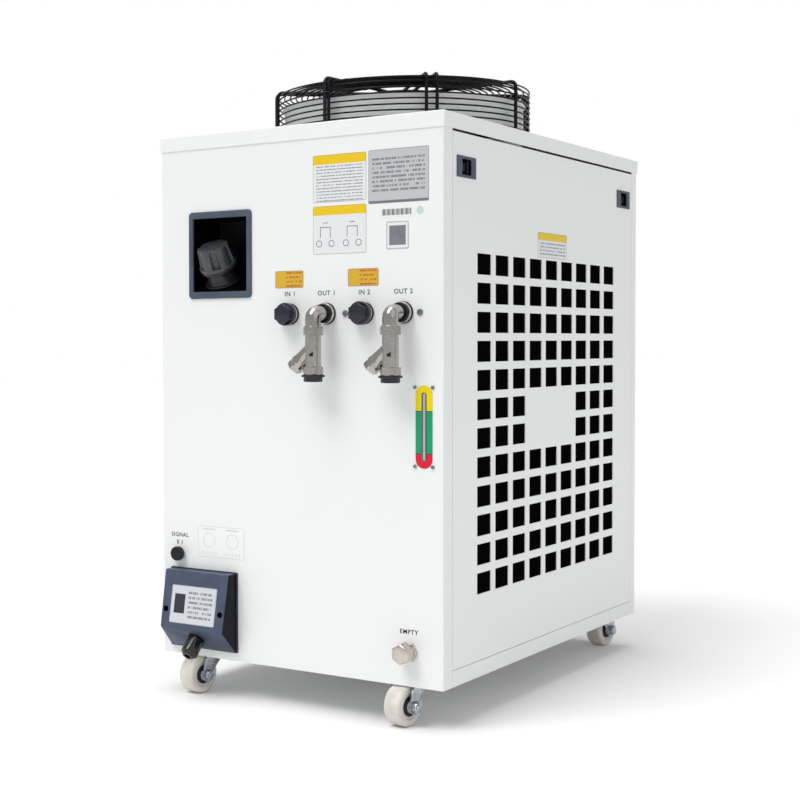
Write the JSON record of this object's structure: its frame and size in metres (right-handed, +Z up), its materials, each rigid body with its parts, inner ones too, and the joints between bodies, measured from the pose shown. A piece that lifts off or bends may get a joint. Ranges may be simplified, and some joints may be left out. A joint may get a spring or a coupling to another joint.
{
  "type": "recirculating chiller",
  "caption": "Floor-standing recirculating water chiller on swivel casters, with a fan on top, grilled tilting side panels, water ports with strainers, a filler cap and a level gauge.",
  "frame": {"origin": "centre of the overall box's footprint, on the floor", "axes": "+Z up, -Y out of the connection panel with the water ports, +X to its right"},
  "size_m": [0.47, 0.751, 0.9075],
  "materials": {
    "white_paint": "fine powder coat",
    "black_wire": "semi-gloss black coat",
    "zinc": "zinc plated",
    "stainless": "satin cast",
    "nickel": "satin nickel",
    "black_plastic": "matte",
    "slate_plastic": "matte",
    "grey_plastic": "satin",
    "nylon": "satin",
    "rubber": "matte",
    "foam": "open foam",
    "scale": "printed scale",
    "tube": "clear",
    "fins": "finned",
    "copper": "drawn copper tube",
    "moulding": "blow moulded"
  },
  "bodies": {
    "cabinet": {"base_pan": "white_paint", "connection_panel": "white_paint", "control_panel": "white_paint", "top_cover": "white_paint", "fan_shroud": "white_paint", "fan_guard": "black_wire", "fan_motor": "black_wire", "fan_cable": "rubber", "caster_plates": "zinc", "cabinet_screws": "zinc", "port_fittings": "stainless", "port_gaskets": "rubber", "outlet_elbows": "stainless", "strainer_bodies": "stainless", "filler_recess": "black_plastic", "filler_neck": "grey_plastic", "level_scale": "scale", "level_tube": "tube", "terminal_base": "slate_plastic", "terminal_cover": "slate_plastic", "cable_gland": "black_plastic", "signal_connector": "nickel", "drain_port": "nickel", "temperature_controllers": "black_plastic", "compressor": "black_wire", "condensers": "fins", "water_tank": "moulding", "circulation_pump": "nickel", "refrigerant_pipe": "copper", "control_box": "zinc"},
    "fan": {"fan_rotor": "black_wire"},
    "filler_lid": {"filler_cap": "grey_plastic", "filler_seal": "rubber"},
    "drain_lid": {"drain_cap": "nickel", "drain_seal": "rubber"},
    "signal_lid": {"signal_cap": "black_plastic"},
    "panel_right": {"side_panel_right": "white_paint", "dust_filter_right": "foam", "latch_bezels_right": "slate_plastic"},
    "panel_left": {"side_panel_left": "white_paint", "dust_filter_left": "foam", "latch_bezels_left": "slate_plastic"},
    "inlet_plug_1": {"inlet_plug_1": "black_plastic"},
    "inlet_plug_2": {"inlet_plug_2": "black_plastic"},
    "strainer_cap_1": {"strainer_cap_1": "stainless"},
    "outlet_plug_1": {"outlet_plug_1": "black_plastic"},
    "strainer_cap_2": {"strainer_cap_2": "stainless"},
    "outlet_plug_2": {"outlet_plug_2": "black_plastic"},
    "latch_right_front": {"latch_slider_right_front": "black_plastic"},
    "latch_right_rear": {"latch_slider_right_rear": "black_plastic"},
    "latch_left_front": {"latch_slider_left_front": "black_plastic"},
    "latch_left_rear": {"latch_slider_left_rear": "black_plastic"},
    "swivel_front_right": {"caster_fork_front_right": "zinc"},
    "wheel_front_right": {"caster_wheel_front_right": "nylon"},
    "swivel_front_left": {"caster_fork_front_left": "zinc"},
    "wheel_front_left": {"caster_wheel_front_left": "nylon"},
    "swivel_rear_right": {"caster_fork_rear_right": "zinc"},
    "wheel_rear_right": {"caster_wheel_rear_right": "nylon"},
    "swivel_rear_left": {"caster_fork_rear_left": "zinc"},
    "wheel_rear_left": {"caster_wheel_rear_left": "nylon"}
  },
  "joints": [
    {"name": "fan_spin", "type": "hinge", "parent": "cabinet", "child": "fan", "pos_m": [0, -0.012, 0.854], "axis": [0, 0, 1], "continuous": true},
    {"name": "filler_turn", "type": "hinge", "parent": "cabinet", "child": "filler_lid", "pos_m": [-0.141, -0.2965, 0.60527], "axis": [0, -0.4848, 0.8746], "range_deg": [0, 1080]},
    {"name": "drain_turn", "type": "hinge", "parent": "cabinet", "child": "drain_lid", "pos_m": [0.182, -0.3245, 0.1028], "axis": [0, -1, 0], "range_deg": [0, 1080]},
    {"name": "signal_pull", "type": "slide", "parent": "cabinet", "child": "signal_lid", "axis": [0, -1, 0], "range_m": [0, 0.012]},
    {"name": "inlet_plug_turn_1", "type": "hinge", "parent": "cabinet", "child": "inlet_plug_1", "pos_m": [-0.0063, -0.3245, 0.5553], "axis": [0, -1, 0], "range_deg": [0, 1080]},
    {"name": "inlet_plug_turn_2", "type": "hinge", "parent": "cabinet", "child": "inlet_plug_2", "pos_m": [0.1137, -0.3245, 0.5553], "axis": [0, -1, 0], "range_deg": [0, 1080]},
    {"name": "strainer_cap_turn_1", "type": "hinge", "parent": "cabinet", "child": "strainer_cap_1", "pos_m": [0.0537, -0.3595, 0.511], "axis": [-0.7071, 0, -0.7071], "range_deg": [0, 1080]},
    {"name": "outlet_plug_turn_1", "type": "hinge", "parent": "cabinet", "child": "outlet_plug_1", "pos_m": [0.0537, -0.3595, 0.4653], "axis": [0, 0, -1], "range_deg": [0, 1080]},
    {"name": "strainer_cap_turn_2", "type": "hinge", "parent": "cabinet", "child": "strainer_cap_2", "pos_m": [0.1737, -0.3595, 0.511], "axis": [-0.7071, 0, -0.7071], "range_deg": [0, 1080]},
    {"name": "outlet_plug_turn_2", "type": "hinge", "parent": "cabinet", "child": "outlet_plug_2", "pos_m": [0.1737, -0.3595, 0.4653], "axis": [0, 0, -1], "range_deg": [0, 1080]},
    {"name": "panel_tilt_right", "type": "hinge", "parent": "cabinet", "child": "panel_right", "pos_m": [0.2335, 0.024, 0.0787], "axis": [0, 1, 0], "range_deg": [0, 25]},
    {"name": "latch_throw_right_front", "type": "slide", "parent": "panel_right", "child": "latch_right_front", "axis": [0, -1, 0], "range_m": [0, 0.007]},
    {"name": "latch_throw_right_rear", "type": "slide", "parent": "panel_right", "child": "latch_right_rear", "axis": [0, 1, 0], "range_m": [0, 0.007]},
    {"name": "panel_tilt_left", "type": "hinge", "parent": "cabinet", "child": "panel_left", "pos_m": [-0.2335, 0.024, 0.0787], "axis": [0, -1, 0], "range_deg": [0, 25]},
    {"name": "latch_throw_left_front", "type": "slide", "parent": "panel_left", "child": "latch_left_front", "axis": [0, -1, 0], "range_m": [0, 0.007]},
    {"name": "latch_throw_left_rear", "type": "slide", "parent": "panel_left", "child": "latch_left_rear", "axis": [0, 1, 0], "range_m": [0, 0.007]},
    {"name": "caster_swivel_front_right", "type": "hinge", "parent": "cabinet", "child": "swivel_front_right", "pos_m": [0.172, -0.286, 0.066], "axis": [0, 0, 1], "continuous": true},
    {"name": "caster_roll_front_right", "type": "hinge", "parent": "swivel_front_right", "child": "wheel_front_right", "pos_m": [0.16783, -0.31571, 0.0275], "axis": [0.9903, -0.1392, 0], "continuous": true},
    {"name": "caster_swivel_front_left", "type": "hinge", "parent": "cabinet", "child": "swivel_front_left", "pos_m": [-0.172, -0.286, 0.066], "axis": [0, 0, 1], "continuous": true},
    {"name": "caster_roll_front_left", "type": "hinge", "parent": "swivel_front_left", "child": "wheel_front_left", "pos_m": [-0.17617, -0.31571, 0.0275], "axis": [0.9903, -0.1392, 0], "continuous": true},
    {"name": "caster_swivel_rear_right", "type": "hinge", "parent": "cabinet", "child": "swivel_rear_right", "pos_m": [0.18, 0.316, 0.066], "axis": [0, 0, 1], "continuous": true},
    {"name": "caster_roll_rear_right", "type": "hinge", "parent": "swivel_rear_right", "child": "wheel_rear_right", "pos_m": [0.18418, 0.34571, 0.0275], "axis": [-0.9903, 0.1392, 0], "continuous": true},
    {"name": "caster_swivel_rear_left", "type": "hinge", "parent": "cabinet", "child": "swivel_rear_left", "pos_m": [-0.18, 0.316, 0.066], "axis": [0, 0, 1], "continuous": true},
    {"name": "caster_roll_rear_left", "type": "hinge", "parent": "swivel_rear_left", "child": "wheel_rear_left", "pos_m": [-0.17583, 0.34571, 0.0275], "axis": [-0.9903, 0.1392, 0], "continuous": true}
  ]
}
